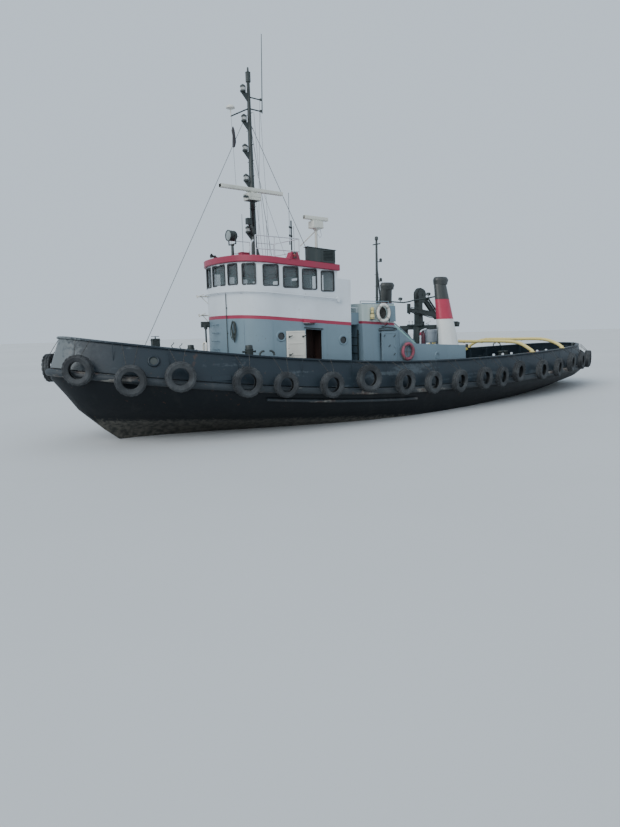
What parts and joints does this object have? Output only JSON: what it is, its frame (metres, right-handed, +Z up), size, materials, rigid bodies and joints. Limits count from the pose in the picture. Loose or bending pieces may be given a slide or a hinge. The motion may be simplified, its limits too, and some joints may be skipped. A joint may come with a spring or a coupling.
{
  "type": "tugboat",
  "caption": "Harbour tug with a low sheered hull ringed by tyre fenders, two-tier house with slanting wheelhouse, twin oval funnels, folding crane, tow hook, masts and radars.",
  "frame": {"origin": "amidships on the centreline, in the plane of the water the tug floats in", "axes": "+X forward to the bow, +Y to port, +Z up"},
  "size_m": [30.7534, 8.6792, 17.5003],
  "materials": {
    "hull_paint": "weathered satin",
    "bulwark_paint": "weathered satin",
    "house_paint": "satin",
    "white_paint": "satin",
    "red_paint": "satin",
    "black_paint": "satin",
    "grey_paint": "satin",
    "yellow_paint": "weathered satin",
    "green_plastic": "gloss",
    "white_plastic": "gloss",
    "fender_rubber": "worn matte",
    "galvanised_steel": "dull",
    "bronze": "machined bronze",
    "window": "clear"
  },
  "bodies": {
    "ship": {"hull": "hull_paint", "engine_block": "grey_paint", "bulwark": "bulwark_paint", "rubbing_strake_and_tyres": "fender_rubber", "deckhouse": "house_paint", "wheelhouse": "white_paint", "wheelhouse_roof": "red_paint", "window_glass": "window", "helm_console": "black_paint", "engine_casing": "house_paint", "alley_platform": "grey_paint", "alley_ladder": "black_paint", "port_funnel": "red_paint", "starboard_funnel": "red_paint", "crane_base": "black_paint", "main_mast": "black_paint", "small_radar_post": "white_paint", "aft_mast": "black_paint", "forestay": "galvanised_steel", "port_backstay": "galvanised_steel", "starboard_backstay": "galvanised_steel", "searchlight_post": "black_paint", "port_sidelight": "red_paint", "starboard_sidelight": "green_plastic", "roof_locker": "black_paint", "roof_rail": "white_paint", "white_life_ring": "white_plastic", "red_life_ring": "red_paint", "tow_hook_stand": "black_paint", "forward_tow_beam": "yellow_paint", "aft_tow_beam": "yellow_paint", "port_fore_bollard": "black_paint", "starboard_fore_bollard": "black_paint", "port_aft_bollard": "black_paint", "starboard_aft_bollard": "black_paint", "windlass_frame": "black_paint", "foredeck_box": "grey_paint", "aft_hatch_coaming": "red_paint", "casing_locker": "grey_paint"},
    "rudder": {"rudder": "hull_paint"},
    "propeller": {"propeller": "bronze"},
    "port_door": {"port_door": "white_paint"},
    "starboard_door": {"starboard_door": "white_paint"},
    "wheelhouse_door": {"wheelhouse_door": "white_paint"},
    "casing_door": {"casing_door": "house_paint"},
    "crane_column": {"crane_column": "black_paint"},
    "crane_boom": {"crane_boom": "black_paint"},
    "crane_jib": {"crane_jib": "black_paint"},
    "boom_cylinder_barrel": {"boom_cylinder_barrel": "grey_paint"},
    "boom_cylinder_rod": {"boom_cylinder_rod": "galvanised_steel"},
    "jib_cylinder_barrel": {"jib_cylinder_barrel": "grey_paint"},
    "jib_cylinder_rod": {"jib_cylinder_rod": "galvanised_steel"},
    "main_radar_scanner": {"main_radar_scanner": "white_plastic"},
    "small_radar_scanner": {"small_radar_scanner": "white_plastic"},
    "searchlight_yoke": {"searchlight_yoke": "black_paint"},
    "searchlight": {"searchlight": "black_paint"},
    "tow_hook": {"tow_hook": "yellow_paint"},
    "windlass_drum": {"windlass_drum": "black_paint"},
    "aft_hatch_lid": {"aft_hatch_lid": "red_paint"}
  },
  "joints": [
    {"name": "propeller_turn", "type": "hinge", "parent": "ship", "child": "propeller", "pos_m": [-11.7, 0, -2], "axis": [1, 0, 0], "continuous": true},
    {"name": "rudder_turn", "type": "hinge", "parent": "ship", "child": "rudder", "pos_m": [-12.65, 0, -2], "axis": [0, 0, 1], "range_deg": [-35, 35]},
    {"name": "port_door_swing", "type": "hinge", "parent": "ship", "child": "port_door", "pos_m": [7.5831, 2.16272, 2.55], "axis": [0, 0, 1], "range_deg": [0, 176]},
    {"name": "starboard_door_swing", "type": "hinge", "parent": "ship", "child": "starboard_door", "pos_m": [7.5831, -2.16272, 2.55], "axis": [0, 0, 1], "range_deg": [0, 176]},
    {"name": "wheelhouse_door_swing", "type": "hinge", "parent": "ship", "child": "wheelhouse_door", "pos_m": [6.162, 0.34, 4.6], "axis": [0, 0, 1], "range_deg": [-100, 0]},
    {"name": "casing_door_swing", "type": "hinge", "parent": "ship", "child": "casing_door", "pos_m": [4.14, 2.6424, 2.4], "axis": [0, 0, 1], "range_deg": [-170, 0]},
    {"name": "crane_slew", "type": "hinge", "parent": "ship", "child": "crane_column", "pos_m": [-0.8, 0.2, 3.6], "axis": [0, 0, 1], "range_deg": [-60, 60]},
    {"name": "crane_boom_lift", "type": "hinge", "parent": "crane_column", "child": "crane_boom", "pos_m": [-0.96, 0.2, 4.96], "axis": [0, 1, 0], "range_deg": [0, 75]},
    {"name": "crane_jib_fold", "type": "hinge", "parent": "crane_boom", "child": "crane_jib", "pos_m": [-2.07, 0.44, 3.9], "axis": [0, 1, 0], "range_deg": [-95, 0]},
    {"name": "boom_cylinder_swing", "type": "hinge", "parent": "crane_column", "child": "boom_cylinder_barrel", "pos_m": [-1.08, 0.2, 3.66], "axis": [0, 1, 0], "range_deg": [-17.67, 0.57]},
    {"name": "boom_cylinder_stroke", "type": "slide", "parent": "boom_cylinder_barrel", "child": "boom_cylinder_rod", "axis": [0.0692, 0, 0.9976], "range_m": [-0.0097, 0.2995]},
    {"name": "jib_cylinder_swing", "type": "hinge", "parent": "crane_boom", "child": "jib_cylinder_barrel", "pos_m": [-1.35698, 0.327, 4.76757], "axis": [0, 1, 0], "range_deg": [-0.11, 1.83]},
    {"name": "jib_cylinder_stroke", "type": "slide", "parent": "jib_cylinder_barrel", "child": "jib_cylinder_rod", "axis": [-0.7173, 0, -0.6967], "range_m": [-0.0091, 0.2781]},
    {"name": "main_radar_turn", "type": "hinge", "parent": "ship", "child": "main_radar_scanner", "pos_m": [8.99, 1.16, 8.3], "axis": [0, 0, 1], "continuous": true},
    {"name": "small_radar_turn", "type": "hinge", "parent": "ship", "child": "small_radar_scanner", "pos_m": [6.46, 1.56, 7.48], "axis": [0, 0, 1], "continuous": true},
    {"name": "searchlight_pan", "type": "hinge", "parent": "ship", "child": "searchlight_yoke", "pos_m": [9.15, 0, 6.6], "axis": [0, 0, 1], "range_deg": [-175, 175]},
    {"name": "searchlight_tilt", "type": "hinge", "parent": "searchlight_yoke", "child": "searchlight", "pos_m": [9.15, 0, 6.91], "axis": [0, 1, 0], "range_deg": [-30, 40]},
    {"name": "tow_hook_swing", "type": "hinge", "parent": "ship", "child": "tow_hook", "pos_m": [-3.99, 0, 2.26], "axis": [0, 0, 1], "range_deg": [-60, 60]},
    {"name": "windlass_turn", "type": "hinge", "parent": "ship", "child": "windlass_drum", "pos_m": [12.25, 0, 2.50345], "axis": [0, 1, 0], "continuous": true},
    {"name": "aft_hatch_swing", "type": "hinge", "parent": "ship", "child": "aft_hatch_lid", "pos_m": [-12.48, 0, 1.8049], "axis": [0, 1, 0], "range_deg": [-95, 0]}
  ],
  "couplings": [
    {"joint": "boom_cylinder_swing", "follows": "crane_boom_lift", "ratio": -0.228},
    {"joint": "boom_cylinder_stroke", "follows": "crane_boom_lift", "m_per_rad": 0.22136},
    {"joint": "jib_cylinder_swing", "follows": "crane_jib_fold", "ratio": -0.0181},
    {"joint": "jib_cylinder_stroke", "follows": "crane_jib_fold", "m_per_rad": -0.16223}
  ]
}
